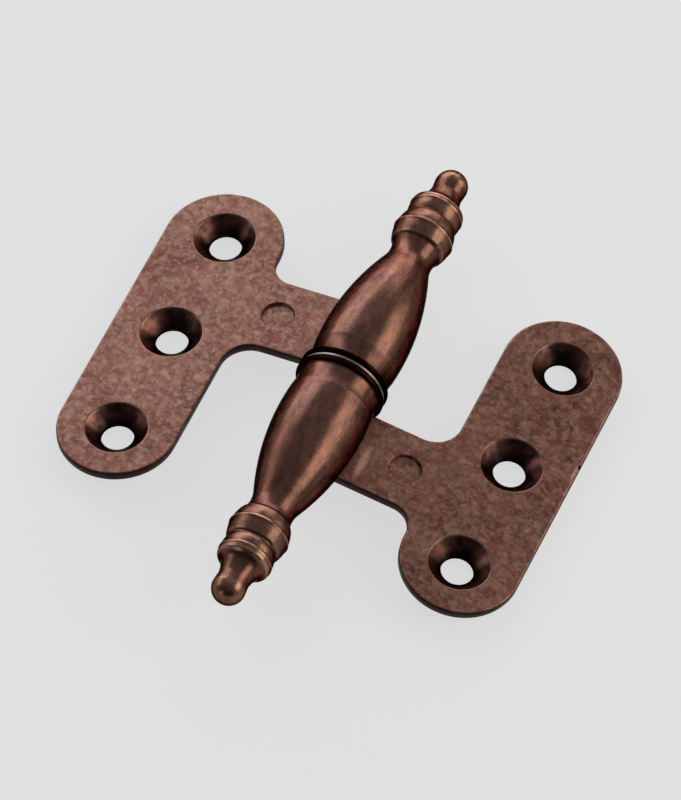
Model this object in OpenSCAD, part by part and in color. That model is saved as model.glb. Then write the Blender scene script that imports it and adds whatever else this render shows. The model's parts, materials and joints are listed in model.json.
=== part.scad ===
// A lift-off flag hinge with turned finials, lying open on a table.
// Each half is a stamped leaf whose web sits in a slot of a turned knuckle.
// The pin is pressed into the lower knuckle, and the upper half turns on it and lifts off it.
// +Z is up, the pin runs along Y, and the lower half's leaf is on the +X side.

/* [Leaf] */
// Length of the leaf, along the pin
leaf_len = 43.4; // [38:0.2:60]
// Width of the leaf's round-ended plate
leaf_w = 14.1; // [11:0.1:18]
// Thickness of the sheet
leaf_t = 1.3; // [1:0.1:1.6]
// Distance from the pin's axis to the line of screw holes
reach = 21.5; // [18:0.1:28]
// Height of the pin's axis over the leaf's front face, half the gap between closed leaves
face_drop = 0.25; // [0.1:0.05:0.6]

/* [Web] */
// Distance from the knuckle's end to the web
web_gap = 1.7; // [1:0.1:3]
// Width of the web that joins the plate to the knuckle
web_w = 9.8; // [7:0.1:11]
// Corner radius between the web and the long side of the plate
long_fillet = 3.4; // [1:0.1:5]
// Corner radius between the web and the near end of the plate
short_fillet = 2.7; // [1:0.1:3]
// Diameter of the round press mark on the web
mark_d = 3.9; // [2:0.1:5]
// Depth of the press mark
mark_depth = 0.35; // [0.1:0.05:0.6]
// Distance from the pin's axis to the press mark
mark_reach = 11; // [9:0.1:12]

/* [Screw holes] */
// Distance between neighbouring screw holes
hole_pitch = 15; // [12:0.5:16]
// Diameter of the screw holes
hole_d = 3.8; // [3:0.1:4.5]
// Diameter of the countersinks at the front face
csk_d = 7.3; // [6:0.1:8]
// Depth of the countersinks
csk_depth = 1.7; // [1:0.05:1.9]
// Distance from the front face to the end of the pressed collar round each hole
collar_depth = 2.4; // [2:0.1:2.6]
// Radius of the collar at its end
collar_r = 3.1; // [2.7:0.1:3.4]
// Radius of the collar where it leaves the sheet
collar_root_r = 4; // [3.7:0.1:4.5]

/* [Slot] */
// Play all round the web in its slot
slot_play = 0.05; // [0.02:0.01:0.1]
// Metal between the slot and the pin's bore
bore_wall = 0.6; // [0.4:0.05:0.9]

/* [Knuckle] */
// Length of a knuckle with its finial
knuckle_len = 33.2; // [32.5:0.1:40]
// Radius of the lip where the knuckles meet
lip_r = 5.4; // [5.2:0.05:6]
// Width of the lip
lip_w = 0.7; // [0.5:0.05:1]
// Bevel on the edge of the lip
lip_bevel = 0.2; // [0.1:0.05:0.4]
// Radius under the lip, where the groove starts
groove_r = 4.95; // [4.7:0.05:5.1]
// Radius of the belly, the widest place of the body
belly_r = 5.15; // [5:0.05:5.2]
// Distance from the lip to the belly
belly_y = 6; // [5:0.5:8]
// Radius that the body tapers to at the neck
neck_r = 2.95; // [2.6:0.05:3.2]
// Distance from the lip to the neck
neck_y = 17.9; // [17.4:0.1:18.5]

/* [Finial] */
// Length of the hollow round the neck
neck_w = 3.1; // [2.5:0.1:3.5]
// Length of the short slopes at the sides of the rings
ring_rise = 0.2; // [0.1:0.05:0.3]
// Length of the first ring
ring_1_w = 3.7; // [3:0.1:4]
// Radius of the first ring at its edges
ring_1_r = 3.2; // [3.1:0.05:3.4]
// How far the first ring bulges out between its edges
ring_1_h = 0.4; // [0.2:0.02:0.5]
// Radius of the groove between the rings
ring_gap_r = 2.95; // [2.7:0.05:3]
// Length of the second ring
ring_2_w = 2.3; // [1.8:0.1:2.6]
// Radius of the second ring at its edges
ring_2_r = 3.05; // [3.02:0.01:3.2]
// How far the second ring bulges out between its edges
ring_2_h = 0.16; // [0.1:0.02:0.3]
// Length of the shoulder from the second ring to the stem's foot
shoulder_w = 0.7; // [0.4:0.1:1]
// Radius at the foot of the stem
stem_foot_r = 2.3; // [2.1:0.05:2.6]
// Length of the taper from the foot to the stem's waist
stem_foot_w = 1.6; // [1:0.1:1.8]
// Radius of the stem's waist
stem_waist_r = 1.88; // [1.7:0.02:1.96]
// Radius of the stem's round tip
stem_r = 2; // [1.9:0.05:2.1]

/* [Pin and washer] */
// Radius of the pin
pin_r = 2; // [1.6:0.1:2.2]
// Length of the pin
pin_len = 27; // [22:0.5:28]
// Length of the pin that is pressed into the lower knuckle
pin_held = 14; // [11:0.5:15]
// Bevel on the pin's ends
pin_bevel = 0.5; // [0.2:0.1:0.8]
// Clearance between the pin and the upper knuckle, on the radius
running_play = 0.05; // [0.02:0.01:0.09]
// Room past the pin's end in the upper knuckle
end_play = 0.5; // [0.3:0.1:1]
// Radius of the bearing washer
washer_r = 5.15; // [4.8:0.05:5.2]
// Thickness of the bearing washer
washer_t = 0.4; // [0.3:0.05:0.8]
// Clearance between the pin and the washer, on the radius
washer_play = 0.1; // [0.05:0.01:0.1]

/* [Hidden] */
$fn = 96;
leaf_color = "rosybrown";
knuckle_color = "saddlebrown";
steel_color = "silver";

// Steps in each arc of the turned profile, and in the body's long taper
arc_steps = 8;
body_steps = 14;
// How far a cutting tool runs past a face
cut = 1;

collar_end = face_drop + collar_depth;
collar_edge = reach + collar_r;
inner_edge = reach - leaf_w / 2;
web_mid = web_gap + web_w / 2;
tongue_end = pin_r + running_play + bore_wall;
upper_bore = pin_len - pin_held - washer_t + end_play;

// The lips and the outer sides of the collars rest on the table, so each leaf droops by this angle.
droop = asin(lip_r / norm([collar_end, collar_edge])) - atan(collar_end / collar_edge);

// Body radius at y from the lip: a parabola that is widest at the belly and tapers to the neck.
function body_r(y) = belly_r - (belly_r - neck_r) * pow((y - belly_y) / (neck_y - belly_y), 2);

// Points of a round arc from a to b that stands out by h at its middle, without its first point.
// h is negative for a hollow.
function arc(a, b, h, steps = arc_steps) =
    let (chord = b - a,
         half = norm(chord) / 2,
         out = [-chord[1], chord[0]] / norm(chord),
         r = (half * half + h * h) / (2 * h),
         centre = (a + b) / 2 + out * (h - r),
         spread = 2 * atan(h / half))
    [for (i = [1:steps])
        let (turn = spread * (1 - 2 * i / steps))
        centre + r * (out * cos(turn) - chord / norm(chord) * sin(turn))];

// Turned outline as [distance from the lip's end face, radius], from the lip to the round tip.
function knuckle_outline() =
    let (groove_start = [lip_w, groove_r],
         body_start = [lip_w + (belly_y - lip_w) / 2, body_r(lip_w + (belly_y - lip_w) / 2)],
         neck = [neck_y, neck_r],
         ring_foot = [neck_y + neck_w, neck_r],
         ring_1 = [ring_foot[0] + ring_rise, ring_1_r],
         ring_1_end = ring_1 + [ring_1_w, 0],
         ring_gap = [ring_1_end[0] + ring_rise, ring_gap_r],
         ring_2 = [ring_gap[0] + ring_rise, ring_2_r],
         ring_2_end = ring_2 + [ring_2_w, 0],
         stem_foot = [ring_2_end[0] + shoulder_w, stem_foot_r],
         waist = [stem_foot[0] + stem_foot_w, stem_waist_r],
         tip = [knuckle_len - stem_r, stem_r])
    concat(
        [[0, lip_r - lip_bevel], [lip_bevel, lip_r], [lip_w, lip_r], groove_start],
        arc(groove_start, body_start, -0.1),
        [for (i = [1:body_steps])
            let (y = body_start[0] + (neck_y - body_start[0]) * i / body_steps)
            [y, body_r(y)]],
        arc(neck, ring_foot, -0.28),
        [ring_1],
        arc(ring_1, ring_1_end, ring_1_h),
        [ring_gap, ring_2],
        arc(ring_2, ring_2_end, ring_2_h),
        arc(ring_2_end, stem_foot, -0.1),
        arc(stem_foot, waist, -0.06),
        [tip],
        [for (i = [1:arc_steps])
            let (a = 90 * i / arc_steps)
            tip + stem_r * [sin(a), cos(a) - 1]]);

// Lays what stands on the lip's end face along -Y, the way the lower knuckle points.
module along_pin() {
    rotate([90, 0, 0])
        children();
}

// A half of the hinge in its place: the lower half as drawn, the upper one half a turn round.
module place_half(turn) {
    translate([0, 0, lip_r])
        rotate([0, 0, turn])
            translate([0, -washer_t / 2, 0])
                rotate([0, droop, 0])
                    children();
}

// Metal left in the corner between two straight edges that meet at a right angle.
module corner_fillet(r) {
    difference() {
        square(r);
        translate([r, r])
            circle(r);
    }
}

module leaf_outline() {
    end_y = (leaf_len - leaf_w) / 2;
    for (side = [-1, 1])
        translate([reach, side * end_y])
            circle(leaf_w / 2);
    translate([inner_edge, -end_y])
        square([leaf_w, 2 * end_y]);
    translate([tongue_end, -web_gap - web_w])
        square([reach - tongue_end, web_w]);
    translate([inner_edge, -web_gap])
        mirror([1, 0])
            corner_fillet(long_fillet);
    translate([inner_edge, -web_gap - web_w])
        rotate(180)
            corner_fillet(short_fillet);
}

// Collar that pressing the countersink into the sheet leaves behind it, under the front face at the origin.
module collar() {
    translate([0, 0, -collar_depth])
        cylinder(h = collar_depth - leaf_t, r1 = collar_r, r2 = collar_root_r);
}

// Through hole with a countersink from the front face, at the origin.
module screw_hole() {
    translate([0, 0, -collar_depth - cut])
        cylinder(h = collar_depth + 2 * cut, d = hole_d);
    translate([0, 0, -csk_depth])
        cylinder(h = csk_depth, d1 = hole_d, d2 = csk_d);
    cylinder(h = cut, d = csk_d);
}

// Slot for the web, with play all round, which runs out through the knuckle's side.
module slot() {
    translate([tongue_end - slot_play, -web_gap - web_w - slot_play, -face_drop - leaf_t - slot_play])
        cube([belly_r + cut, web_w + 2 * slot_play, leaf_t + 2 * slot_play]);
}

module leaf() {
    difference() {
        union() {
            translate([0, 0, -face_drop - leaf_t])
                linear_extrude(leaf_t)
                    leaf_outline();
            for (i = [-1:1])
                translate([reach, i * hole_pitch, -face_drop])
                    collar();
        }
        for (i = [-1:1])
            translate([reach, i * hole_pitch, -face_drop])
                screw_hole();
        translate([mark_reach, -web_mid, -face_drop - mark_depth])
            cylinder(h = mark_depth + cut, d = mark_d);
    }
}

module knuckle(bore_r, bore_depth) {
    difference() {
        along_pin()
            rotate_extrude()
                polygon([
                    [0, 0],
                    for (p = knuckle_outline()) [p[1], p[0]]
                ]);
        along_pin()
            translate([0, 0, -cut])
                cylinder(h = bore_depth + cut, r = bore_r);
        slot();
    }
}

module upper_leaf() {
    color(leaf_color)
        place_half(180)
            leaf();
}

module lower_leaf() {
    color(leaf_color)
        place_half(0)
            leaf();
}

module upper_knuckle() {
    color(knuckle_color)
        place_half(180)
            knuckle(pin_r + running_play, upper_bore);
}

module lower_knuckle() {
    color(knuckle_color)
        place_half(0)
            knuckle(pin_r, pin_held);
}

module hinge_pin() {
    color(steel_color)
        translate([0, 0, lip_r])
            translate([0, -washer_t / 2 - pin_held + pin_len, 0])
                along_pin() {
                    cylinder(h = pin_bevel, r1 = pin_r - pin_bevel, r2 = pin_r);
                    translate([0, 0, pin_bevel])
                        cylinder(h = pin_len - 2 * pin_bevel, r = pin_r);
                    translate([0, 0, pin_len - pin_bevel])
                        cylinder(h = pin_bevel, r1 = pin_r, r2 = pin_r - pin_bevel);
                }
}

module bearing_washer() {
    color(steel_color)
        translate([0, washer_t / 2, lip_r])
            along_pin()
                difference() {
                    cylinder(h = washer_t, r = washer_r);
                    translate([0, 0, -cut])
                        cylinder(h = washer_t + 2 * cut, r = pin_r + washer_play);
                }
}

upper_leaf();
lower_leaf();
upper_knuckle();
lower_knuckle();
hinge_pin();
bearing_washer();
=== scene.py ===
# %% [markdown]
# A lift-off hinge in antique copper.
#
# The hinge lies open on a table. Its two stamped leaves reach out to the left and right, and each holds a
# turned knuckle with a ringed finial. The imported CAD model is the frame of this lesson: it says where every
# piece is. Blender gives the pieces what a drawing leaves out, which is the soft edge of stamped plate, the
# smooth skin of turned metal, and a copper finish that was darkened and rubbed bright again.

# %% Load the frame
import json
import math

import bmesh
import bpy
from mathutils import Matrix, Vector


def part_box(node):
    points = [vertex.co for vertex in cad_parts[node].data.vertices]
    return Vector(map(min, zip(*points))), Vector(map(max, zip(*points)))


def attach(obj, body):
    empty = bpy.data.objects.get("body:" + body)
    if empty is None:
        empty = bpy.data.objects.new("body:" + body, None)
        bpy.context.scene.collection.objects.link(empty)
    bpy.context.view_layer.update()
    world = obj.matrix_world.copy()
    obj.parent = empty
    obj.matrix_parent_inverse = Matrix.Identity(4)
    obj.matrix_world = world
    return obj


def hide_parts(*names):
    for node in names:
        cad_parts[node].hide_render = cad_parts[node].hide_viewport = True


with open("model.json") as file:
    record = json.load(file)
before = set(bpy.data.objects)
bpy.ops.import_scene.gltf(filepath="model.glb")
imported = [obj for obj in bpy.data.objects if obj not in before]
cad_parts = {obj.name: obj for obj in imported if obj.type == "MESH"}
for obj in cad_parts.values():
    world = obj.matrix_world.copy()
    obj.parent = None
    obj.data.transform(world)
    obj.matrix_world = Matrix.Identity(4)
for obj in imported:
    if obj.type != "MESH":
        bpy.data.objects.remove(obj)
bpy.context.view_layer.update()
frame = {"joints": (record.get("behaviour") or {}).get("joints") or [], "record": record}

# %% [markdown]
# Millimetres first.
#
# A hinge is measured in millimetres, so every length below is one, and MM turns it into Blender's metres
# when a mesh gets its place. The places come from the frame: the swing joint gives the pin's axis, and the
# screw mounts give where each leaf lies and how it slopes. It slopes because the collars behind its screw
# holes and the lips of the knuckles rest on the table together.
#
# Both halves are the same, turned round by half a turn. So each piece is made once in its half's own
# millimetres, where x runs out over the leaf, y along the pin and z out of the leaf's front.

# %% Read the places from the frame
MM = 0.001
mounts = {mount["name"]: mount for mount in frame["record"]["mounts"]}
joints = {joint["name"]: joint for joint in frame["joints"]}
pin_height = joints["swing"]["pos_m"][2] / MM


def half_place(side, along):
    """The matrix from a half's millimetres to the frame. The pin points along Y, or against it for -1."""
    screws = mounts[side + "_screws"]
    normal = Vector(screws["axis"]).normalized()
    pin_way = Vector((0, along, 0))
    out = pin_way.cross(normal)
    rotation = Matrix((out, pin_way, normal)).transposed().to_4x4()
    origin = Vector((0, screws["pos_m"][1], pin_height * MM))
    return Matrix.Translation(origin) @ rotation @ Matrix.Scale(MM, 4)


PLACES = {"lower": half_place("lower", 1), "upper": half_place("upper", -1)}
to_lower = PLACES["lower"].inverted()
hole_line = to_lower @ Vector(mounts["lower_screws"]["pos_m"])
reach = hole_line.x
collar_end = hole_line.z
collar_depth = 2.4
front = collar_end + collar_depth
leaf_normal = Vector(mounts["lower_screws"]["axis"]).normalized()
washer_t = -2 * mounts["lower_screws"]["pos_m"][1] / MM
print(f"pin {pin_height:.2f} mm up, holes {reach:.2f} mm from it, washer {washer_t:.2f} mm thick")

# %% [markdown]
# Small tools.
#
# Colours are written as the hex values that a screen shows, and one function turns them to the linear
# values that Blender mixes. A noise pattern's scale is one over the size of its spots, so per_mm works it
# out from a size that can be measured on the hinge. One function adds a node with its settings and links,
# and maths is a short name for the node that is needed most.

# %% Helpers for colours, patterns and nodes
def linear(hex_colour):
    """A screen colour such as '#8A6558' as linear red, green, blue and alpha."""
    parts = [int(hex_colour[i:i + 2], 16) / 255 for i in (1, 3, 5)]
    return [c / 12.92 if c <= 0.04045 else ((c + 0.055) / 1.055) ** 2.4 for c in parts] + [1.0]


def per_mm(size):
    """The texture scale at which one spot of a pattern is this many millimetres wide."""
    return 1 / (size * MM)


def add_node(tree, kind, links=None, **settings):
    """Adds a node. A key of links names or numbers an input, and its value is a socket or a plain value."""
    node = tree.nodes.new(kind)
    for name, value in settings.items():
        setattr(node, name, value)
    for key, value in (links or {}).items():
        if isinstance(value, bpy.types.NodeSocket):
            tree.links.new(value, node.inputs[key])
        else:
            node.inputs[key].default_value = value
    return node


def maths(tree, operation, first, second=0.0):
    """A sum, a product or the like of two numbers or sockets."""
    return add_node(tree, "ShaderNodeMath", {0: first, 1: second}, operation=operation).outputs["Value"]


print("copper brown is", [round(c, 3) for c in linear("#8A6558")])

# %% [markdown]
# The camera.
#
# The photograph was taken from the front and well above, a little to the right, with a long lens that
# hardly narrows the far end. The angles and the distance are those at which the outline of the hinge falls
# on that of the photograph, 681 pixels wide and 800 high.

# %% Set the camera
IMAGE_HEIGHT = 800
SENSOR = 36.0
azimuth = math.radians(20.23)
elevation = math.radians(53.64)
roll = math.radians(4.36)
focal_px = 9000
distance = 1023.5
aim_right_px = 1.2
aim_up_px = 15.8
nearest_seen = 0.01

back = Vector((math.sin(azimuth) * math.cos(elevation), -math.cos(azimuth) * math.cos(elevation),
               math.sin(elevation)))
level = Vector((0, 0, 1)).cross(back).normalized()
plumb = back.cross(level)
right = math.cos(roll) * level + math.sin(roll) * plumb
up = -math.sin(roll) * level + math.cos(roll) * plumb
aim = Vector((0, 0, pin_height)) - (aim_right_px * right + aim_up_px * up) * distance / focal_px

camera_data = bpy.data.cameras.new("camera")
camera_data.sensor_width = SENSOR
camera_data.lens = focal_px * SENSOR / IMAGE_HEIGHT
camera_data.clip_start = nearest_seen
camera = bpy.data.objects.new("camera", camera_data)
axes = Matrix((right, up, back)).transposed().to_4x4()
camera.matrix_world = Matrix.Translation((aim + back * distance) * MM) @ axes
bpy.context.scene.collection.objects.link(camera)
bpy.context.scene.camera = camera
print(f"lens {camera_data.lens:.0f} mm, camera {distance:.0f} mm away")

# %% [markdown]
# What every finish is made of.
#
# Each finish below mixes browns by a few patterns and ends in one Principled shader. Noise gives clouds and
# grain without edges. A smooth Voronoi pattern gives blotches: each has random colours of its own, and soft
# edges where it meets the next, as spots that tumbling has rubbed out of a dark skin have.

# %% Helpers for finishes
def new_material(name):
    """An empty node material and its tree."""
    material = bpy.data.materials.new(name)
    material.use_nodes = True
    material.node_tree.nodes.clear()
    return material, material.node_tree


def noise(tree, place, size_mm, detail=2.0, roughness=0.5):
    """A noise pattern whose spots are about size_mm wide, as a number from 0 to 1."""
    node = add_node(tree, "ShaderNodeTexNoise", {"Vector": place, "Scale": per_mm(size_mm), "Detail": detail,
                                                 "Roughness": roughness})
    return node.outputs[0]


def spread(tree, value, low, high, to_low=0.0, to_high=1.0):
    """Stretches the part of a value between low and high over a new range."""
    links = {"Value": value, "From Min": low, "From Max": high, "To Min": to_low, "To Max": to_high}
    return add_node(tree, "ShaderNodeMapRange", links).outputs["Result"]


def blend(tree, factor, low, high):
    """A colour between two others, which are hex values or sockets."""
    node = add_node(tree, "ShaderNodeMix", data_type="RGBA")
    for socket, value in (("Factor_Float", factor), ("A_Color", low), ("B_Color", high)):
        target = next(s for s in node.inputs if s.identifier == socket)
        if isinstance(value, bpy.types.NodeSocket):
            tree.links.new(value, target)
        else:
            target.default_value = linear(value) if isinstance(value, str) else value
    return next(s for s in node.outputs if s.identifier == "Result_Color")


def finish_metal(tree, colour, roughness, normal, edge_on="#FFFFFF"):
    """Ends a tree in a metal skin. Edge_on is the colour that it shows where it is seen edge-on."""
    shader = add_node(tree, "ShaderNodeBsdfPrincipled", {
        "Base Color": colour, "Metallic": 1.0, "Roughness": roughness, "Normal": normal,
        "Specular Tint": linear(edge_on)})
    add_node(tree, "ShaderNodeOutputMaterial", {"Surface": shader.outputs["BSDF"]})


def blotches(tree, place, size_mm):
    """Two random numbers for each blotch of about size_mm, as the red and the green of a colour."""
    cells = add_node(tree, "ShaderNodeTexVoronoi", {"Vector": place, "Scale": per_mm(size_mm),
                                                    "Smoothness": 0.6}, feature="SMOOTH_F1")
    return add_node(tree, "ShaderNodeSeparateColor", {"Color": cells.outputs["Color"]}).outputs


def fine_bump(tree, height, depth_mm, strength):
    """Normals of a skin that a pattern lifts by up to depth_mm."""
    bump = add_node(tree, "ShaderNodeBump", {"Height": height, "Distance": depth_mm * MM,
                                             "Strength": strength})
    return bump.outputs["Normal"]


print("finishes are mixed from noise and blotches")

# %% [markdown]
# The finish of the leaves.
#
# The leaves are stamped from brass sheet, plated with copper, darkened in a bath and tumbled, which rubs the
# dark skin off again in countless small spots. The eye sees a satin brown with reddish and greyish spots and
# slow clouds where the bath took more. So the ground is noise in two sizes, clouds of several millimetres
# and mottle of about a millimetre, and blotches of 0.7 mm and of 0.34 mm lie over it. Grain and mottle lift
# the surface by a few thousandths of a millimetre. Use wears the finish through at one spot of the outer
# edge, where an oval mask rubs it bright, and an oval of the same colour paints a highlight on a strip of
# the web beside the lower knuckle. The stamped edge itself gets the same finish in nearly black browns,
# as painted shade on the wall of the plate.

# %% Make the copper plating of the leaves
# The colour of worn spots, also used for a painted highlight.
RUBBED_AND_HIGHLIGHT = "#D2A28C"


def oval(tree, place, middle, half):
    """1 in an oval patch of the frame, 0 outside. Its middle and half its sizes are in millimetres."""
    parts = add_node(tree, "ShaderNodeSeparateXYZ", {"Vector": place}).outputs
    across = maths(tree, "DIVIDE", maths(tree, "SUBTRACT", parts["X"], middle[0] * MM), half[0] * MM)
    along = maths(tree, "DIVIDE", maths(tree, "SUBTRACT", parts["Y"], middle[1] * MM), half[1] * MM)
    squares = maths(tree, "ADD", maths(tree, "POWER", across, 2.0), maths(tree, "POWER", along, 2.0))
    return spread(tree, squares, 0.1, 1.0, 1.0, 0.0)


def wear_and_highlight(tree, place, colour, grain, worn_and_highlight_places):
    """Lightens ovals for wear and painted highlights, each given by its middle, half its sizes and its
    strength.
    """
    uneven = spread(tree, grain, 0.0, 1.0, 0.5, 1.0)
    for middle, half, strength in worn_and_highlight_places:
        patch = maths(tree, "MULTIPLY", oval(tree, place, middle, half), strength)
        colour = blend(tree, maths(tree, "MULTIPLY", patch, uneven), colour, RUBBED_AND_HIGHLIGHT)
    return colour


def plated_copper(name, dark, middle, light, red, roughness, speckle, worn_and_highlight_places=()):
    """Tumbled copper plating between three browns, with redder blotches, worn places and painted highlights.
    """
    material, tree = new_material(name)
    place = add_node(tree, "ShaderNodeTexCoord").outputs["Object"]
    clouds = spread(tree, noise(tree, place, 5.0, 3.0), 0.35, 0.65)
    mottle = spread(tree, noise(tree, place, 1.4, 3.0, 0.6), 0.32, 0.68)
    grain = spread(tree, noise(tree, place, 0.5, 2.0, 0.7), 0.3, 0.7)
    coarse = blotches(tree, place, 0.7)
    fine = blotches(tree, place, 0.34)
    ground = blend(tree, clouds, dark, middle)
    ground = blend(tree, spread(tree, mottle, 0.0, 1.0, 0.0, 0.8), ground, middle)
    ground = blend(tree, spread(tree, coarse["Green"], 0.3, 1.0, 0.0, speckle), ground, red)
    ground = blend(tree, spread(tree, coarse["Red"], 0.3, 1.0, 0.0, speckle), ground, light)
    colour = blend(tree, spread(tree, fine["Red"], 0.4, 1.0, 0.0, speckle), ground, light)
    colour = blend(tree, spread(tree, fine["Green"], 0.4, 1.0, 0.0, speckle), colour, dark)
    colour = wear_and_highlight(tree, place, colour, grain, worn_and_highlight_places)
    rough = spread(tree, mottle, 0.0, 1.0, roughness - 0.06, roughness + 0.08)
    finish_metal(tree, colour, rough, fine_bump(tree, maths(tree, "ADD", grain, mottle), 0.006, 0.6))
    return material


# A painted highlight on a strip of the web beside the lower knuckle.
web_highlight = ((6.3, -8.4), (0.6, 2.8), 0.8)
worn_edge = ((28.0, 2.3), (0.16, 1.2), 1.0)
leaf_copper = plated_copper("tumbled_copper_plating", dark="#502F29", middle="#755145", light="#A48172",
                            red="#84483C", roughness=0.42, speckle=0.4, worn_and_highlight_places=(web_highlight, worn_edge))
# A nearly black copy of the leaf finish: painted shade on the plate's wall and in the nick.
edge_shade_copper = plated_copper("stamped_edge_painted_shade", dark="#1C1413", middle="#2A1D1A", light="#3E2C27",
                            red="#2E1815", roughness=0.5, speckle=0.3)
print("made", leaf_copper.name, "and", edge_shade_copper.name)

# %% [markdown]
# The countersinks.
#
# A countersink is cut after stamping, and tumbling stones hardly reach into it. So its cone keeps most of
# the dark skin, with copper showing in soft patches. Towards the hole it is painted nearly black, as painted
# shade deep in the hole, and it is rubbed at the rim. Both follow the depth behind the leaf's front, which a
# short sum works out from a point's place and the slope of the leaf. A painted mask could do that too, but
# the sum stays right when a size changes.

# %% Make the dark copper of the countersinks
def depth_in_leaf(tree, place):
    """How far a point lies behind the front of its leaf. Without the sign of X, it serves both halves."""
    parts = add_node(tree, "ShaderNodeSeparateXYZ", {"Vector": place}).outputs
    out = maths(tree, "MULTIPLY", maths(tree, "ABSOLUTE", parts["X"]), leaf_normal.x)
    rise = maths(tree, "MULTIPLY", parts["Z"], leaf_normal.z)
    front_level = (front + pin_height * leaf_normal.z) * MM
    return maths(tree, "SUBTRACT", front_level, maths(tree, "ADD", out, rise))


def countersunk_copper():
    """Dark copper with soft worn patches, painted shade near the hole, and worn at the rim."""
    material, tree = new_material("darkened_cut_copper")
    place = add_node(tree, "ShaderNodeTexCoord").outputs["Object"]
    depth = depth_in_leaf(tree, place)
    patches = spread(tree, noise(tree, place, 1.5, 2.0), 0.4, 0.62)
    grain = spread(tree, noise(tree, place, 0.5, 2.0, 0.7), 0.3, 0.7)
    ground = blend(tree, grain, "#2A1D1E", "#44302E")
    colour = blend(tree, spread(tree, patches, 0.0, 1.0, 0.0, 0.7), ground, "#7A4E44")
    # Painted shade: nearly black deeper in the hole.
    colour = blend(tree, spread(tree, depth, 0.5 * MM, 1.6 * MM, 0.0, 0.88), colour, "#120C0E")
    colour = blend(tree, spread(tree, depth, 0.0, 0.2 * MM, 0.5, 0.0), colour, "#8C6E62")
    finish_metal(tree, colour, 0.3, fine_bump(tree, grain, 0.006, 0.5), edge_on="#140E0C")
    return material


cut_copper = countersunk_copper()
print("made", cut_copper.name)

# %% [markdown]
# The finish of the knuckles.
#
# The knuckles are turned from brass bar, plated and darkened like the leaves, and then polished, so they are
# glossy and nearly black-brown where nothing shines in them. Polishing runs along the barrel and leaves
# fine streaks that break up the highlights. It also rubs more off what stands out, and the thin ridges get
# a painted highlight on top of that wear: the outline of the turned piece carries a number called crest,
# which is high on ridges and 0 in grooves, and the colour follows it.
#
# Where the knuckles meet, the lips and the groove beside each are darkened with painted shade, and the upper
# lip is painted black, as the shadow between the knuckles. The upper knuckle is also darker for a few
# millimetres above the joint. Clean metal turns pale where it is seen edge-on, but an old skin stays dark
# there, and gives a round piece a dark outline. On a metal the shader's Specular Tint is the colour seen
# edge-on.

# %% Make the polished copper of the knuckles
def near_joint(tree, distance, full_mm, none_mm, strength):
    """Strength up to full_mm from the joint, fading out to nothing at none_mm."""
    return spread(tree, distance, full_mm * MM, none_mm * MM, strength, 0.0)


def joint_shade(tree, place, colour):
    """Paints shade near the joint, black on the upper lip, and darkens the upper knuckle just above the
    joint.
    """
    along = add_node(tree, "ShaderNodeSeparateXYZ", {"Vector": place}).outputs["Y"]
    above = spread(tree, along, 0.0, 0.2 * MM)
    lips_shade = near_joint(tree, maths(tree, "ABSOLUTE", along), 0.9, 1.3, 1.0)
    darker_above_joint = maths(tree, "MULTIPLY", above, near_joint(tree, along, 1.0, 5.0, 0.3))
    upper_lip_shadow = maths(tree, "MULTIPLY", above, near_joint(tree, along, 0.5, 0.8, 0.9))
    # Painted shade on the lips where the knuckles meet, and a black painted shadow on the upper lip.
    colour = blend(tree, maths(tree, "MAXIMUM", lips_shade, darker_above_joint), colour, "#1E0E0C")
    return blend(tree, upper_lip_shadow, colour, "#060404")


def polished_copper():
    """Dark polished copper with streaks along the pin, lighter on its crests from wear and painted
    highlights.
    """
    material, tree = new_material("polished_antique_copper")
    place = add_node(tree, "ShaderNodeTexCoord").outputs["Object"]
    stretch = add_node(tree, "ShaderNodeMapping", {"Vector": place, "Scale": (1.0, 0.35, 1.0)})
    streaks = spread(tree, noise(tree, stretch.outputs["Vector"], 0.8, 3.0, 0.6), 0.3, 0.7)
    clouds = spread(tree, noise(tree, place, 2.4, 3.0), 0.35, 0.65)
    grain = spread(tree, noise(tree, place, 0.45, 2.0, 0.7), 0.3, 0.7)
    crest = add_node(tree, "ShaderNodeAttribute", attribute_name="crest").outputs["Fac"]
    ground = blend(tree, streaks, "#442E2D", "#744E45")
    ground = blend(tree, spread(tree, clouds, 0.0, 1.0, 0.0, 0.6), ground, "#5E4334")
    # Crests are lighter: polishing wear, and a painted highlight along the thin ridges.
    crest_wear_and_highlight = maths(tree, "MULTIPLY", crest, spread(tree, grain, 0.0, 1.0, 0.5, 1.0))
    colour = joint_shade(tree, place, blend(tree, crest_wear_and_highlight, ground, "#B8917C"))
    rough = spread(tree, grain, 0.0, 1.0, 0.22, 0.34)
    skin_normal = fine_bump(tree, maths(tree, "ADD", streaks, grain), 0.008, 0.6)
    finish_metal(tree, colour, rough, skin_normal, edge_on="#5E606C")
    return material


knuckle_copper = polished_copper()
print("made", knuckle_copper.name)

# %% [markdown]
# The steel.
#
# The pin and the bearing washer are plain turned steel, left without plating so that they run easily, and a
# little stained by now. Turning leaves rings round the axis. A wave pattern would draw them too even, so a
# noise is used that is fine along the pin and twenty times longer across it.

# %% Make the turned steel
def turned_steel():
    """Stained steel with the fine rings that a lathe leaves."""
    material, tree = new_material("turned_bright_steel")
    place = add_node(tree, "ShaderNodeTexCoord").outputs["Object"]
    squeeze = add_node(tree, "ShaderNodeMapping", {"Vector": place, "Scale": (0.05, 1.0, 0.05)})
    rings = spread(tree, noise(tree, squeeze.outputs["Vector"], 0.12, 2.0), 0.3, 0.7)
    stain = spread(tree, noise(tree, place, 1.5, 2.0), 0.4, 0.7)
    colour = blend(tree, spread(tree, stain, 0.0, 1.0, 0.0, 0.5), "#7A706A", "#4E4440")
    rough = spread(tree, rings, 0.0, 1.0, 0.3, 0.44)
    finish_metal(tree, colour, rough, fine_bump(tree, rings, 0.003, 0.5))
    return material


pin_steel = turned_steel()
print("made", pin_steel.name)

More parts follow.
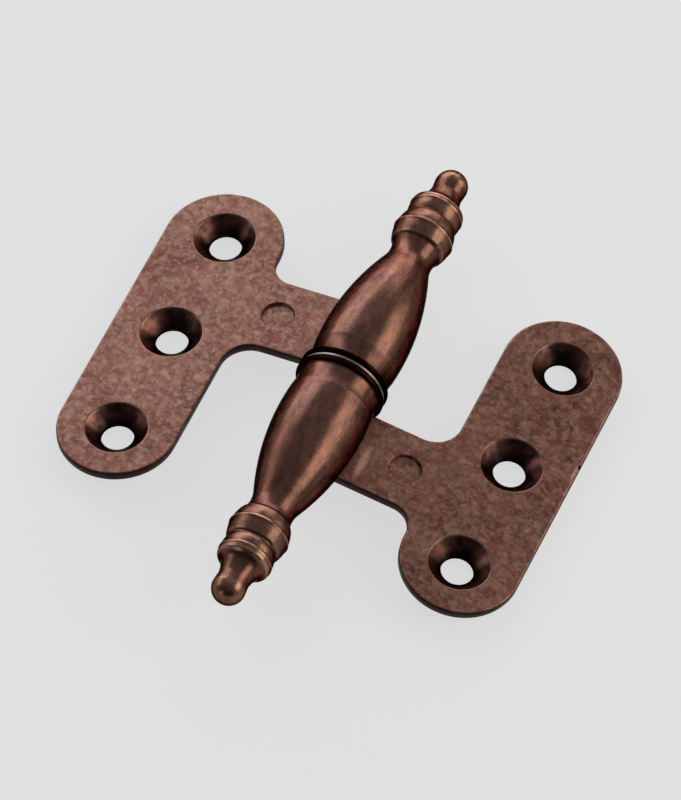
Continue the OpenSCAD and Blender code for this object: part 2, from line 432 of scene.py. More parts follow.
# %% [markdown]
# A lathe made of nodes.
#
# Every round piece here is an outline turned about an axis, so one node tree makes them all. Its geometry
# is the outline, a row of points that hold the distance along the axis in Y and the radius in Z. The tree
# lays a grid with one row of corners per outline point and one column per side, and moves each corner to
# its place round the axis. Merging what meets closes the seam and the poles. A Screw modifier could turn
# the outline too, but the tree also carries the crest number over to the skin. Two helpers start and end a
# tree, because the row of screw holes further on needs the same.

# %% Build the lathe tree
SEAM_GAP = 0.001


def new_tree(name, made, **inputs):
    """An empty tree with these inputs and one geometry output, and the sockets of what it is given."""
    tree = bpy.data.node_groups.new(name, "GeometryNodeTree")
    for label, kind in inputs.items():
        tree.interface.new_socket(label, in_out="INPUT", socket_type="NodeSocket" + kind)
    tree.interface.new_socket(made, in_out="OUTPUT", socket_type="NodeSocketGeometry")
    return tree, add_node(tree, "NodeGroupInput").outputs


def end_tree(tree, geometry, finish):
    """Makes all copies real, gives them their finish and hands them out."""
    real = add_node(tree, "GeometryNodeRealizeInstances", {"Geometry": geometry})
    finished = add_node(tree, "GeometryNodeSetMaterial", {"Geometry": real.outputs["Geometry"],
                                                          "Material": finish})
    add_node(tree, "NodeGroupOutput", {0: finished.outputs["Geometry"]})
    return tree


def read_point(tree, outline, number, value, data_type):
    """A value as it is at one point of the outline."""
    node = add_node(tree, "GeometryNodeSampleIndex", {"Geometry": outline, "Index": number, "Value": value},
                    data_type=data_type)
    return node.outputs["Value"]


def lathe_tree():
    """Turns an outline about Y. Inputs: Outline, Sides, Finish."""
    tree, given = new_tree("lathe", "Turned", Outline="Geometry", Sides="Int", Finish="Material")
    points = add_node(tree, "GeometryNodeAttributeDomainSize", {"Geometry": given["Outline"]})
    columns = maths(tree, "ADD", given["Sides"], 1.0)
    grid = add_node(tree, "GeometryNodeMeshGrid", {"Vertices X": points.outputs["Point Count"],
                                                   "Vertices Y": columns})
    index = add_node(tree, "GeometryNodeInputIndex").outputs["Index"]
    row = maths(tree, "FLOOR", maths(tree, "DIVIDE", index, columns))
    column = maths(tree, "MODULO", index, columns)
    angle = maths(tree, "DIVIDE", maths(tree, "MULTIPLY", column, 2 * math.pi), given["Sides"])
    spot = add_node(tree, "GeometryNodeInputPosition").outputs["Position"]
    outline_point = read_point(tree, given["Outline"], row, spot, "FLOAT_VECTOR")
    named = add_node(tree, "GeometryNodeInputNamedAttribute", {"Name": "crest"}, data_type="FLOAT")
    crest = read_point(tree, given["Outline"], row, named.outputs["Attribute"], "FLOAT")
    parts = add_node(tree, "ShaderNodeSeparateXYZ", {"Vector": outline_point}).outputs
    place = add_node(tree, "ShaderNodeCombineXYZ", {
        "X": maths(tree, "MULTIPLY", parts["Z"], maths(tree, "SINE", angle)),
        "Y": parts["Y"],
        "Z": maths(tree, "MULTIPLY", parts["Z"], maths(tree, "COSINE", angle))})
    turned = add_node(tree, "GeometryNodeSetPosition", {"Geometry": grid.outputs["Mesh"],
                                                        "Position": place.outputs["Vector"]})
    marked = add_node(tree, "GeometryNodeStoreNamedAttribute",
                      {"Geometry": turned.outputs["Geometry"], "Name": "crest", "Value": crest},
                      data_type="FLOAT")
    closed = add_node(tree, "GeometryNodeMergeByDistance", {"Geometry": marked.outputs["Geometry"],
                                                            "Distance": SEAM_GAP})
    smooth = add_node(tree, "GeometryNodeSetShadeSmooth", {"Geometry": closed.outputs["Geometry"]})
    return end_tree(tree, smooth.outputs["Geometry"], given["Finish"])


LATHE = lathe_tree()
print("the lathe has", len(LATHE.nodes), "nodes")

# %% [markdown]
# Using a node tree.
#
# A tree's inputs are set by each socket's identifier, before Blender first looks at the object. The result
# is then taken as a plain mesh, so that what is handed on holds no modifier.

# %% Helpers that run a tree and keep its result
def link(obj):
    """Shows an object in the scene."""
    bpy.context.scene.collection.objects.link(obj)
    return obj


def add_tree(obj, tree, **inputs):
    """Puts a node tree on an object and sets its named inputs."""
    modifier = obj.modifiers.new(tree.name, "NODES")
    modifier.node_group = tree
    names = {item.name: item.identifier for item in tree.interface.items_tree
             if item.item_type == "SOCKET" and item.in_out == "INPUT"}
    for name, value in inputs.items():
        modifier[names[name]] = value
    return obj


def settle(obj):
    """Swaps an object's mesh for the one that its modifiers make, and takes the modifiers off."""
    bpy.context.view_layer.update()
    graph = bpy.context.evaluated_depsgraph_get()
    made = bpy.data.meshes.new_from_object(obj.evaluated_get(graph), preserve_all_data_layers=True,
                                           depsgraph=graph)
    obj.modifiers.clear()
    obj.data = made
    made.name = obj.name
    return obj


def face_out(obj):
    """Merges what meets and points every face outwards."""
    mesh = bmesh.new()
    mesh.from_mesh(obj.data)
    bmesh.ops.remove_doubles(mesh, verts=mesh.verts, dist=SEAM_GAP / 2)
    bmesh.ops.recalc_face_normals(mesh, faces=mesh.faces)
    mesh.to_mesh(obj.data)
    mesh.free()
    return obj


def turn(name, outline, sides, finish, crests=None):
    """Turns (distance along the axis, radius) points into a closed skin about Y, in millimetres."""
    data = bpy.data.meshes.new(name)
    data.from_pydata([(0, y, r) for y, r in outline], [(i, i + 1) for i in range(len(outline) - 1)], [])
    numbers = data.attributes.new("crest", "FLOAT", "POINT")
    numbers.data.foreach_set("value", crests or [0.0] * len(outline))
    obj = link(bpy.data.objects.new(name, data))
    add_tree(obj, LATHE, Sides=sides, Finish=finish)
    return face_out(settle(obj))


print("ready to turn round pieces")

# %% [markdown]
# The outline of a knuckle.
#
# From the joint outwards a knuckle has a lip, a groove, a long barrel that swells and then narrows to a
# neck, two rings and a stem with a round end. The barrel is a parabola. Each ring is two swelling flanks
# with a thin ridge between them, which is what draws a light line round the real one. The rest are round
# arcs, each given by its two ends and by how far it stands out.

# %% Helpers for arcs and rings
ARC_STEPS = 16
ridge_w = 0.22
ridge_rise = 0.1
flank_swell = 0.07


def arc(start, end, height):
    """Points after start, to end, on a round arc that stands out to the left by height."""
    start = Vector(start)
    end = Vector(end)
    half = (end - start).length / 2
    along = (end - start).normalized()
    out = Vector((-along.y, along.x))
    radius = (half * half + height * height) / (2 * height)
    centre = (start + end) / 2 + out * (height - radius)
    opening = 2 * math.atan(height / half)
    turns = [opening * (1 - 2 * i / ARC_STEPS) for i in range(1, ARC_STEPS + 1)]
    return [centre + radius * (out * math.cos(a) - along * math.sin(a)) for a in turns]


def ring(start, end, height, crest_share):
    """A ring between start and end: two swelling flanks with a thin raised ridge between them."""
    crest = start.lerp(end, crest_share) + Vector((0, height))
    before = crest - Vector((ridge_w / 2, 0))
    after = crest + Vector((ridge_w / 2, 0))
    rise = Vector((0, ridge_rise))
    ridge = [before + rise, after + rise, after]
    return [start] + arc(start, before, flank_swell) + ridge + arc(after, end, flank_swell)


print(f"a ridge is {ridge_w} mm wide and {ridge_rise} mm high")

# %% Draw the knuckle's outline
lip_r = pin_height
lip_w = 0.7
lip_round = 0.2
ring_1_crest = 0.5
ring_2_crest = 0.65
groove_hollow = 0.1
neck_hollow = 0.28
shoulder_hollow = 0.1
stem_hollow = 0.06
groove_r = 4.95
belly_r = 5.15
belly_y = 6.0
neck_r = 2.95
neck_y = 17.9
neck_w = 3.1
ring_rise = 0.2
ring_1_w = 3.7
ring_1_r = 3.2
ring_1_h = 0.4
ring_gap_r = 2.95
ring_2_w = 2.3
ring_2_r = 3.05
ring_2_h = 0.16
shoulder_w = 0.7
stem_foot_r = 2.3
stem_foot_w = 1.6
stem_waist_r = 1.88
stem_r = 2.0
knuckle_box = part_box("lower_knuckle")
knuckle_len = (knuckle_box[1].y - knuckle_box[0].y) / MM
BARREL_STEPS = 40


def barrel_r(y):
    """The barrel's radius at y from the lip."""
    return belly_r - (belly_r - neck_r) * ((y - belly_y) / (neck_y - belly_y)) ** 2


def knuckle_skin():
    """The outside of a knuckle, from the lip to the tip."""
    barrel_start = lip_w + (belly_y - lip_w) / 2
    groove = Vector((lip_w, groove_r))
    neck = Vector((neck_y, neck_r))
    ring_foot = neck + Vector((neck_w, 0))
    ring_1 = Vector((ring_foot.x + ring_rise, ring_1_r))
    ring_1_end = ring_1 + Vector((ring_1_w, 0))
    ring_gap = Vector((ring_1_end.x + ring_rise, ring_gap_r))
    ring_2 = Vector((ring_gap.x + ring_rise, ring_2_r))
    ring_2_end = ring_2 + Vector((ring_2_w, 0))
    stem_foot = Vector((ring_2_end.x + shoulder_w, stem_foot_r))
    waist = Vector((stem_foot.x + stem_foot_w, stem_waist_r))
    tip = Vector((knuckle_len - stem_r, stem_r))
    points = [Vector((0, lip_r - lip_round)), Vector((lip_round, lip_r)), Vector((lip_w, lip_r))]
    points += [groove] + arc(groove, (barrel_start, barrel_r(barrel_start)), -groove_hollow)
    barrel_len = neck_y - barrel_start
    ys = [barrel_start + barrel_len * i / BARREL_STEPS for i in range(1, BARREL_STEPS + 1)]
    points += [Vector((y, barrel_r(y))) for y in ys]
    points += arc(neck, ring_foot, -neck_hollow) + ring(ring_1, ring_1_end, ring_1_h, ring_1_crest)
    points += [ring_gap] + ring(ring_2, ring_2_end, ring_2_h, ring_2_crest)
    points += arc(ring_2_end, stem_foot, -shoulder_hollow) + arc(stem_foot, waist, -stem_hollow) + [tip]
    quarter = [math.pi / 2 * i / ARC_STEPS for i in range(1, ARC_STEPS + 1)]
    points += [tip + stem_r * Vector((math.sin(a), math.cos(a) - 1)) for a in quarter]
    return points


print(f"knuckle {knuckle_len:.1f} mm long, {len(knuckle_skin())} points in its outline")

# %% [markdown]
# Even and soft.
#
# Plating and polishing leave no sharp corner. So the outline is walked in short even steps, and each point
# is averaged with its neighbours. The two ends stay where they are, because the joint and the tip are there.

# %% Walk the outline and soften it
def walk(points, step):
    """The same line in even steps."""
    places = [0.0]
    for a, b in zip(points, points[1:]):
        places.append(places[-1] + (b - a).length)
    count = max(2, round(places[-1] / step))
    made = []
    k = 0
    for i in range(count + 1):
        s = places[-1] * i / count
        while k < len(points) - 2 and places[k + 1] < s:
            k += 1
        share = (s - places[k]) / max(places[k + 1] - places[k], 1e-9)
        made.append(points[k].lerp(points[k + 1], min(max(share, 0.0), 1.0)))
    return made


def soften(points, reach_in_points):
    """Averages each point with its neighbours, less and less towards the two ends."""
    made = []
    for i in range(len(points)):
        reach_here = min(reach_in_points, i, len(points) - 1 - i)
        near = points[i - reach_here:i + reach_here + 1]
        made.append(sum(near, Vector((0, 0))) / len(near))
    return made


STEP = 0.12
SOFTEN_REACH = 1
skin = soften(walk(knuckle_skin(), STEP), SOFTEN_REACH)
print("points after softening:", len(skin))

# %% [markdown]
# Where polishing bites, and where highlights are painted.
#
# A polishing mop touches what stands out. The crest number compares a point's radius with the mean radius
# near it: above the mean is a crest, below it a groove. It does so twice. Over 1.4 mm to either side it
# finds the broad swellings, which are rubbed a little, and over 0.36 mm the thin ridges, which are rubbed
# most and carry a painted highlight of the light line that each catches. Blender's Pointiness finds crests
# too, but it changes with how fine the mesh is.

# %% Work out the crests
BROAD_REACH = round(1.4 / STEP)
SHARP_REACH = round(0.36 / STEP)
BROAD_RISE = 0.25
SHARP_RISE = 0.05
BROAD_SHARE = 0.12
# The thin ridges' share is wear with a painted highlight on top.
RIDGE_WEAR_AND_HIGHLIGHT_SHARE = 0.8


def stands_out(points, i, reach_in_points, full):
    """From 0 to 1: how far a point's radius is above the mean of its neighbours, 1 at full millimetres."""
    near = points[max(0, i - reach_in_points):i + reach_in_points + 1]
    mean = sum(p.y for p in near) / len(near)
    return min(max((points[i].y - mean) / full, 0.0), 1.0)


def crest_numbers(points):
    """A number from 0 in hollows to 1 on sharp edges, for each point."""
    broad = [stands_out(points, i, BROAD_REACH, BROAD_RISE) for i in range(len(points))]
    sharp = [stands_out(points, i, SHARP_REACH, SHARP_RISE) for i in range(len(points))]
    return [min(BROAD_SHARE * b + RIDGE_WEAR_AND_HIGHLIGHT_SHARE * s, 1.0) for b, s in zip(broad, sharp)]


skin_crests = crest_numbers(skin)
print(f"the highest crest is {max(skin_crests):.2f}")

# %% [markdown]
# Bore and slot.
#
# The knuckle is bored from the joint for the pin. The bore is simply the first stretch of the outline, so
# the lathe makes it. The leaf's web sits in a slot, which is cut with a Boolean modifier: a block as large
# as the web, with a little play all round.

# %% Turn the knuckles and cut their slots
SIDES = 112


def cut(obj, cutter, operation="DIFFERENCE"):
    """Cuts one closed mesh from another, or joins it on, and deletes the cutter."""
    modifier = obj.modifiers.new("cut", "BOOLEAN")
    modifier.operation = operation
    modifier.solver = "EXACT"
    modifier.object = cutter
    modifier.material_mode = "TRANSFER"
    settle(obj)
    bpy.data.objects.remove(cutter)
    return obj


def block(name, low, high, finish):
    """A closed box between two corners."""
    mesh = bmesh.new()
    bmesh.ops.create_cube(mesh, size=1.0)
    size = Vector(high) - Vector(low)
    middle = (Vector(high) + Vector(low)) / 2
    bmesh.ops.transform(mesh, matrix=Matrix.Translation(middle) @ Matrix.Diagonal(size).to_4x4(),
                        verts=mesh.verts)
    data = bpy.data.meshes.new(name)
    mesh.to_mesh(data)
    mesh.free()
    data.materials.append(finish)
    return link(bpy.data.objects.new(name, data))


web_gap = 1.7
web_w = 9.8
leaf_t = 1.3
leaf_back = front - leaf_t
web_start = 2.65
slot_play = 0.05
slot_past = 2
bore_bevel = 0.15


def make_knuckle(name, bore_r, bore_depth):
    """A knuckle in its half's millimetres, with its bore and its slot."""
    bore = [Vector((bore_depth, 0)), Vector((bore_depth, bore_r)), Vector((bore_bevel, bore_r)),
            Vector((0, bore_r + bore_bevel))]
    bore_crests = [0.0] * len(bore)
    outline = [(-p.x, p.y) for p in bore + skin]
    obj = turn(name, outline, SIDES, knuckle_copper, bore_crests + skin_crests)
    slot = block("slot", (web_start - slot_play, -web_gap - web_w - slot_play, leaf_back - slot_play),
                 (belly_r + slot_past, -web_gap + slot_play, front + slot_play), knuckle_copper)
    return cut(obj, slot)


pin_r = 2.0
running_play = 0.05
pin_len = 27.0
pin_held = 14.0
end_play = 0.5
upper_bore = pin_len - pin_held - washer_t + end_play
knuckles = {"lower": make_knuckle("lower_knuckle_turned", pin_r, pin_held),
            "upper": make_knuckle("upper_knuckle_turned", pin_r + running_play, upper_bore)}
print("knuckle faces:", {side: len(obj.data.polygons) for side, obj in knuckles.items()})

# %% [markdown]
# The outline of a leaf.
#
# A leaf is a long plate with round ends and a short web to the knuckle. Its outline is straight lines and
# arcs that run smoothly into each other, so it is written as arcs with their centres, one after the other.

# %% Draw the leaf's outline
leaf_w = 14.1
leaf_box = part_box("lower_leaf")
leaf_len = (leaf_box[1].y - leaf_box[0].y) / MM
long_fillet = 3.4
short_fillet = 2.7
DEGREES_A_STEP = 4.0


def round_corner(centre, radius, start, end):
    """Points on an arc between two angles in degrees, the first and the last with them."""
    count = max(2, round(abs(end - start) / DEGREES_A_STEP))
    angles = [math.radians(start + (end - start) * i / count) for i in range(count + 1)]
    return [Vector((centre[0] + radius * math.cos(a), centre[1] + radius * math.sin(a))) for a in angles]


def leaf_outline():
    """The leaf from above, anticlockwise, from the web's far corner at the knuckle."""
    inner = reach - leaf_w / 2
    end_y = (leaf_len - leaf_w) / 2
    web_end = -web_gap - web_w
    points = [Vector((web_start, web_end))]
    points += round_corner((inner - short_fillet, web_end - short_fillet), short_fillet, 90, 0)
    points += round_corner((reach, -end_y), leaf_w / 2, 180, 360)
    points += round_corner((reach, end_y), leaf_w / 2, 0, 180)
    points += round_corner((inner - long_fillet, -web_gap + long_fillet), long_fillet, 0, -90)
    points += [Vector((web_start, -web_gap))]
    return points


print(f"leaf {leaf_len:.1f} x {leaf_w:.1f} mm, {len(leaf_outline())} points in its outline")

# %% [markdown]
# Stamping the leaf.
#
# A press rounds the edges of a sheet a little and tumbling rounds them more. A Bevel modifier could round
# the edge, but here the wall also changes its finish on the way. So it is a stack of copies of the outline,
# each drawn in a little, with the front and back filled in. Most of it has the dark finish of the edge,
# which is painted shade on the plate's wall. Half of the front's rounding has the finish of the leaf.

# %% Stamp the plate
front_round = 0.25
back_round = 0.35
back_knee = 0.3 * back_round
FRONT_STEPS = 4
SHADED_LEVELS = 5


def draw_in(points, inset):
    """The closed outline moved inwards by inset, with its corners kept."""
    made = []
    for i, point in enumerate(points):
        before = (point - points[i - 1]).normalized()
        after = (points[(i + 1) % len(points)] - point).normalized()
        n1 = Vector((-before.y, before.x))
        n2 = Vector((-after.y, after.x))
        made.append(point + inset * (n1 + n2) / (1 + n1.dot(n2)))
    return made


def stamp(name):
    """The plate without its holes, in the half's millimetres."""
    outline = leaf_outline()
    quarter = [math.pi / 2 * i / FRONT_STEPS for i in range(FRONT_STEPS + 1)]
    stack = [(back_round, leaf_back), (back_knee, leaf_back + back_knee), (0.0, leaf_back + back_round)]
    stack += [(front_round * (1 - math.cos(a)), front - front_round * (1 - math.sin(a))) for a in quarter]
    mesh = bmesh.new()
    loops = [[mesh.verts.new((p.x, p.y, z)) for p in draw_in(outline, inset)] for inset, z in stack]
    count = len(outline)
    for number, (low, high) in enumerate(zip(loops, loops[1:])):
        for i in range(count):
            j = (i + 1) % count
            face = mesh.faces.new((low[i], low[j], high[j], high[i]))
            # The back rounding, the wall and half the front rounding take the edge's painted shade.
            face.material_index = 1 if number < SHADED_LEVELS else 0
    mesh.faces.new(list(reversed(loops[0])))
    mesh.faces.new(loops[-1])
    data = bpy.data.meshes.new(name)
    mesh.to_mesh(data)
    mesh.free()
    data.materials.append(leaf_copper)
    data.materials.append(edge_shade_copper)
    return link(bpy.data.objects.new(name, data))


plate = stamp("plate")
print("plate faces before its holes:", len(plate.data.polygons))

# %% [markdown]
# A row of three.
#
# The screw holes repeat along the leaf, and so do the collars behind them, so a second tree copies one piece
# along a line. An Array modifier would do it too. The tree has the row's middle at the piece's own place,
# whatever the count is.

# %% Build the row tree
HOLES = 3
HOLE_SIDES = 72
hole_pitch = mounts["lower_screws"]["dims"]["pcd_mm"] / (HOLES - 1)


def row_tree():
    """Copies a piece along Y. Inputs: Piece, Count, Pitch, Finish."""
    tree, given = new_tree("row", "Row", Piece="Geometry", Count="Int", Pitch="Float", Finish="Material")
    span = maths(tree, "MULTIPLY", maths(tree, "SUBTRACT", given["Count"], 1.0), given["Pitch"])
    start = add_node(tree, "ShaderNodeCombineXYZ", {"Y": maths(tree, "MULTIPLY", span, -0.5)})
    offset = add_node(tree, "ShaderNodeCombineXYZ", {"Y": given["Pitch"]})
    line = add_node(tree, "GeometryNodeMeshLine", {"Count": given["Count"],
                                                   "Start Location": start.outputs["Vector"],
                                                   "Offset": offset.outputs["Vector"]})
    copies = add_node(tree, "GeometryNodeInstanceOnPoints", {"Points": line.outputs["Mesh"],
                                                             "Instance": given["Piece"]})
    return end_tree(tree, copies.outputs["Instances"], given["Finish"])


ROW = row_tree()


def stand(name, outline, finish, place):
    """A piece turned from (height, radius) points, upright at a place on the leaf."""
    obj = turn(name, outline, HOLE_SIDES, finish)
    obj.data.transform(Matrix.Translation(place) @ Matrix.Rotation(math.pi / 2, 4, "X"))
    obj.data.update()
    return face_out(obj)


def row_of_three(name, outline, finish):
    """Three upright pieces in the places of the screw holes."""
    obj = stand(name, outline, finish, (reach, 0, 0))
    return settle(add_tree(obj, ROW, Count=HOLES, Pitch=hole_pitch, Finish=finish))


print(f"{HOLES} holes, {hole_pitch:.1f} mm apart")

# %% [markdown]
# Collars behind the holes.
#
# The sheet is thinner than a screw's head is deep, so the press draws it out into a short collar behind each
# hole. Each collar is a turned piece that bites a little into the sheet and is joined to it, so that no gap
# is left between the two.

# %% Join the collars to the plate
collar_r = 3.1
collar_root_r = 4.0
collar_round = 0.25
collar_bite = 0.3
collar_outline = [(collar_end, 0), (collar_end, collar_r - collar_round),
                  (collar_end + collar_round, collar_r + collar_round / 2), (leaf_back, collar_root_r),
                  (leaf_back + collar_bite, collar_root_r), (leaf_back + collar_bite, 0)]
cut(plate, row_of_three("collars", collar_outline, leaf_copper), "UNION")
print("leaf faces with its collars:", len(plate.data.polygons))

# %% [markdown]
# Screw holes and press mark.
#
# One cutter has the whole shape of a hole: an eased back edge, a straight wall, a cone, and a small radius
# at the rim, which is what catches the light as a thin ring round each countersink. The radius ends a hair
# under the front, because a Boolean that only touches a face can leave stray ones. The shallow round press
# mark on the web has a cutter of its own.

# %% Cut the screw holes and the press mark
hole_r = mounts["lower_screws"]["dims"]["hole_r_mm"]
csk_r = 3.65
csk_depth = 1.7
rim_round = 0.2
back_ease = 0.2
past = 1
sunk = 0.004
RIM_STEPS = 6
mark_r = 1.95
mark_depth = 0.35
mark_reach = 11.0
mark_floor_r = mark_r - 0.15
mark_wall_r = mark_r - 0.02
mark_round = 0.12


def rim_arc(foot, rim, rounding):
    """An arc that rolls the wall from foot to rim, both (radius, height), over into the level front."""
    foot = Vector(foot)
    rim = Vector(rim)
    wall = (rim - foot).normalized()
    flat = Vector((1, 0))
    bend = math.acos(wall.dot(flat))
    run = rounding * math.tan(bend / 2)
    centre = rim + flat * run - Vector((0, rounding))
    begin = math.pi / 2 + bend
    angles = [begin - bend * i / RIM_STEPS for i in range(RIM_STEPS + 1)]
    return [centre + rounding * Vector((math.cos(a), math.sin(a))) for a in angles]


def cutter_outline(below, wall):
    """Below and wall are (radius, height) points. The cutter goes on from them to past the front."""
    rim = wall[-1].x
    points = [Vector(p) for p in below] + wall + [Vector((rim, front + past)), Vector((0, front + past))]
    return [(p.y, p.x) for p in points]


screw_wall = rim_arc((hole_r, front - csk_depth), (csk_r, front - sunk), rim_round)
screw_outline = cutter_outline([(0, collar_end - past), (hole_r + back_ease + past, collar_end - past),
                                (hole_r, collar_end + back_ease), (hole_r, front - csk_depth)], screw_wall)
cut(plate, row_of_three("screw_cutter", screw_outline, cut_copper))

mark_floor = front - mark_depth
mark_wall = rim_arc((mark_wall_r, mark_floor + mark_round), (mark_r, front - sunk), mark_round)
mark_outline = cutter_outline([(0, mark_floor), (mark_floor_r, mark_floor)], mark_wall)
mark_place = (mark_reach, -web_gap - web_w / 2, 0)
cut(plate, stand("mark_cutter", mark_outline, leaf_copper, mark_place))
print("leaf faces with its holes:", len(plate.data.polygons))

# %% [markdown]
# Pin and washer.
#
# The pin is pressed into the lower knuckle and shows only when the upper half is lifted off. The washer is
# a flat ring between the knuckles, whose bright rim is the light line round the joint.

# %% Turn the pin and the washer
washer_r = 5.15
washer_bore = pin_r + 0.1
tip_round = 0.5
ease = 0.08
PIN_SIDES = 64
TIP_STEPS = 5


def pin_end(y, way):
    """The rounded end of the pin at y, from its axis out to its side. Way is 1 or -1, out of the end."""
    points = [(y, 0)]
    for i in range(TIP_STEPS + 1):
        angle = math.pi / 2 * i / TIP_STEPS
        inwards = tip_round * (1 - math.cos(angle))
        points.append((y - way * inwards, pin_r - tip_round * (1 - math.sin(angle))))
    return points


pin_outline = pin_end(-pin_held, -1) + list(reversed(pin_end(pin_len - pin_held, 1)))
pin_piece = turn("hinge_pin_turned", pin_outline, PIN_SIDES, pin_steel)

washer_outline = [(0, washer_bore), (0, washer_r - ease), (ease, washer_r), (washer_t - ease, washer_r),
                  (washer_t, washer_r - ease), (washer_t, washer_bore), (0, washer_bore)]
washer_piece = turn("bearing_washer_turned", washer_outline, SIDES, pin_steel)
print("pin faces:", len(pin_piece.data.polygons), "washer faces:", len(washer_piece.data.polygons))

# %% [markdown]
# Two leaves, one of them nicked.
#
# Both leaves are copies of the one plate. The lower half's leaf has a small dark nick in its outer edge, as
# a knock leaves it. Such a mark tells the halves apart and is cut from one copy alone.

# %% Copy the plate and cut the nick
nick_r = 0.42
nick_depth = 0.6
nick_place = (reach + leaf_w / 2 + 0.15, 3.6, 0)


def copy_of(obj, name):
    """A copy with a mesh of its own."""
    made = bpy.data.objects.new(name, obj.data.copy())
    return link(made)


leaves = {side: copy_of(plate, side + "_leaf_stamped") for side in PLACES}
bpy.data.objects.remove(plate)
nick_foot = front - nick_depth
nick_outline = [(nick_foot, 0), (nick_foot, nick_r), (front + past, nick_r), (front + past, 0)]
# The nick's walls take the edge's painted shade.
cut(leaves["lower"], stand("nick", nick_outline, edge_shade_copper, nick_place))
print("faces:", {side: len(obj.data.polygons) for side, obj in leaves.items()})

# %% [markdown]
# Put the pieces in place.
#
# Each finished mesh is moved to its place once, so that every object stays at the origin as the CAD nodes
# do. Smooth shading needs edges marked where a corner is real, and weighted normals keep the flat faces
# flat beside their rounded edges.

# %% Place and shade the pieces
SHARP = math.radians(38)


def finish_piece(obj, place):
    """Puts a piece in its place and shades it."""
    obj.data.transform(place)
    obj.data.update()
    bmesh_copy = bmesh.new()
    bmesh_copy.from_mesh(obj.data)
    bmesh.ops.recalc_face_normals(bmesh_copy, faces=bmesh_copy.faces)
    bmesh_copy.to_mesh(obj.data)
    bmesh_copy.free()
    obj.data.shade_smooth()
    obj.data.set_sharp_from_angle(angle=SHARP)
    weigh = obj.modifiers.new("weigh", "WEIGHTED_NORMAL")
    weigh.keep_sharp = True
    return settle(obj)


for side, place in PLACES.items():
    finish_piece(leaves[side], place)
    finish_piece(knuckles[side], place)
finish_piece(pin_piece, PLACES["lower"])
finish_piece(washer_piece, PLACES["lower"])

rides = [(leaves["upper"], "upper_half", "upper_leaf", "leaf_plate"),
         (leaves["lower"], "lower_half", "lower_leaf", "leaf_plate"),
         (knuckles["upper"], "upper_half", "upper_knuckle", "turned_knuckle"),
         (knuckles["lower"], "lower_half", "lower_knuckle", "turned_knuckle"),
         (pin_piece, "lower_half", "hinge_pin", "pin_steel"),
         (washer_piece, "washer", "bearing_washer", "pin_steel")]
for piece, body, node, slot in rides:
    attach(piece, body)
    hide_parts(node)
print("placed", [piece.name for piece, *_ in rides])

# %% [markdown]
# The floor.
#
# The floor is a plain pale sheet. To the camera, and in reflections, it glows in most part with the pale
# grey that is wanted, so that it stays even. The rest of it is ordinary card, which takes the light and so
# keeps a faint shadow of the hinge.

# %% Lay the floor
FLOOR_GREY = "#E2E2E2"
CARD_GREY = "#E9ECF0"
GLOW_SHARE = 0.85


def floor_material():
    """Pale card that looks evenly lit to the camera and in reflections, and keeps a faint shadow."""
    material, tree = new_material("pale_card")
    card = add_node(tree, "ShaderNodeBsdfDiffuse", {"Color": linear(CARD_GREY)})
    glow = add_node(tree, "ShaderNodeEmission", {"Color": linear(FLOOR_GREY), "Strength": 1.0})
    path = add_node(tree, "ShaderNodeLightPath").outputs
    seen = maths(tree, "MAXIMUM", path["Is Camera Ray"], path["Is Glossy Ray"])
    seen = maths(tree, "MAXIMUM", seen, path["Is Transmission Ray"])
    share = maths(tree, "MULTIPLY", seen, GLOW_SHARE)
    mixed = add_node(tree, "ShaderNodeMixShader", {0: share, 1: card.outputs["BSDF"],
                                                   2: glow.outputs["Emission"]})
    add_node(tree, "ShaderNodeOutputMaterial", {"Surface": mixed.outputs["Shader"]})
    return material


floor_half = 1.5
floor_drop = 0.02
floor_data = bpy.data.meshes.new("floor")
floor_data.from_pydata([(-floor_half, -floor_half, 0), (floor_half, -floor_half, 0),
                        (floor_half, floor_half, 0), (-floor_half, floor_half, 0)], [], [(0, 1, 2, 3)])
floor_data.materials.append(floor_material())
floor = link(bpy.data.objects.new("floor", floor_data))
floor.location.z = -floor_drop * MM
print(f"floor {2 * floor_half:.0f} m wide")

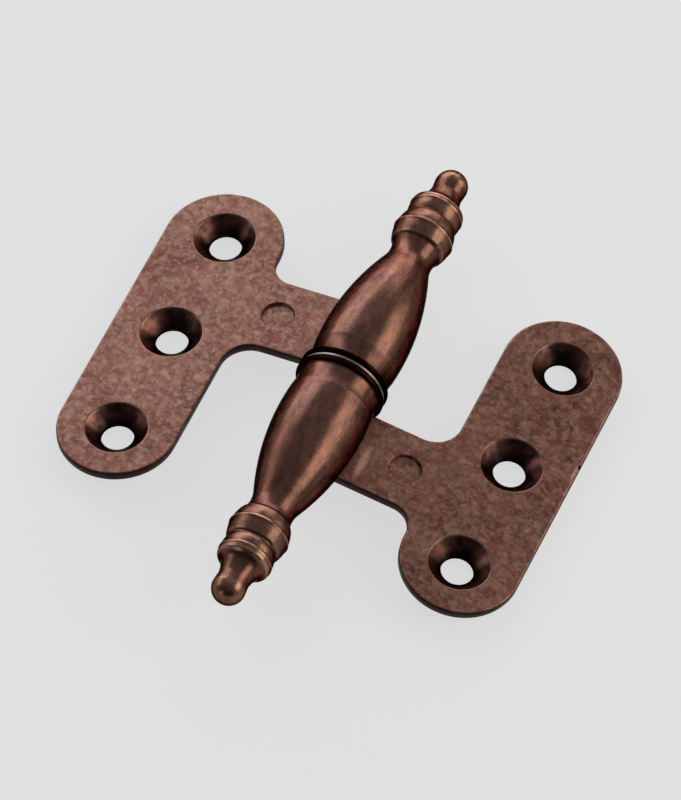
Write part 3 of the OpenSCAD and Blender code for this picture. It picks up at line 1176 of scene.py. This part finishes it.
# %% [markdown]
# The light.
#
# Polished metal shows the room, so the lamps are chosen for what they draw. The big cool panel behind on the
# left and the warm one on the right each draw a streak along the barrels. The far left one lifts the left
# flanks, the back one lightens the leaves, and a small one low in front puts a spark on the tips. A lamp is
# given by the brightness that a mirror would show of it, and its power follows from that and its area. The
# room gets dimmer towards the front, so that what faces the front stays dark.

# %% Hang the lamps
LAMP_DISTANCE = 1.0
DIM_ROOM = 0.06
BRIGHT_ROOM = 0.5


def softbox(name, way, width, length, brightness, colour):
    """An area lamp in the direction way, its length along the pin, as bright in a mirror as brightness."""
    data = bpy.data.lights.new(name, "AREA")
    data.shape = "RECTANGLE"
    data.size = width
    data.size_y = length
    data.energy = brightness * math.pi * width * length
    data.color = linear(colour)[:3]
    facing = Vector(way).normalized()
    long_side = (Vector((0, 1, 0)) - facing * facing.y).normalized()
    short_side = long_side.cross(facing)
    lamp = bpy.data.objects.new(name, data)
    turn_to = Matrix((short_side, long_side, facing)).transposed().to_4x4()
    lamp.matrix_world = Matrix.Translation(facing * LAMP_DISTANCE) @ turn_to
    return link(lamp)


softbox("left_panel", (-0.60, 0.75, 0.37), 0.70, 0.82, 3.3, "#EFF8FF")
softbox("far_left_panel", (-0.90, 0.08, 0.42), 0.52, 0.95, 1.4, "#FFFAF4")
softbox("back_panel", (-0.05, 0.93, 0.36), 0.65, 0.40, 2.8, "#FFFAF4")
softbox("right_panel", (0.83, 0.33, 0.45), 0.57, 1.00, 3.1, "#FFFDE8")
softbox("front_panel", (-0.40, -0.90, 0.16), 0.22, 0.22, 3.0, "#FFFAF4")

# %% Light the room
world = bpy.data.worlds.new("studio")
world.use_nodes = True
world_tree = world.node_tree
world_tree.nodes.clear()
towards = add_node(world_tree, "ShaderNodeTexCoord").outputs["Generated"]
towards_back = add_node(world_tree, "ShaderNodeSeparateXYZ", {"Vector": towards}).outputs["Y"]
room = spread(world_tree, towards_back, -0.8, 0.3, DIM_ROOM, BRIGHT_ROOM)
sky = add_node(world_tree, "ShaderNodeBackground", {"Color": linear("#F2F2F4"), "Strength": room})
add_node(world_tree, "ShaderNodeOutputWorld", {"Surface": sky.outputs["Background"]})
bpy.context.scene.world = world
bpy.context.scene.view_settings.view_transform = "Standard"
print(f"the room's strength runs from {DIM_ROOM} in front to {BRIGHT_ROOM} behind")
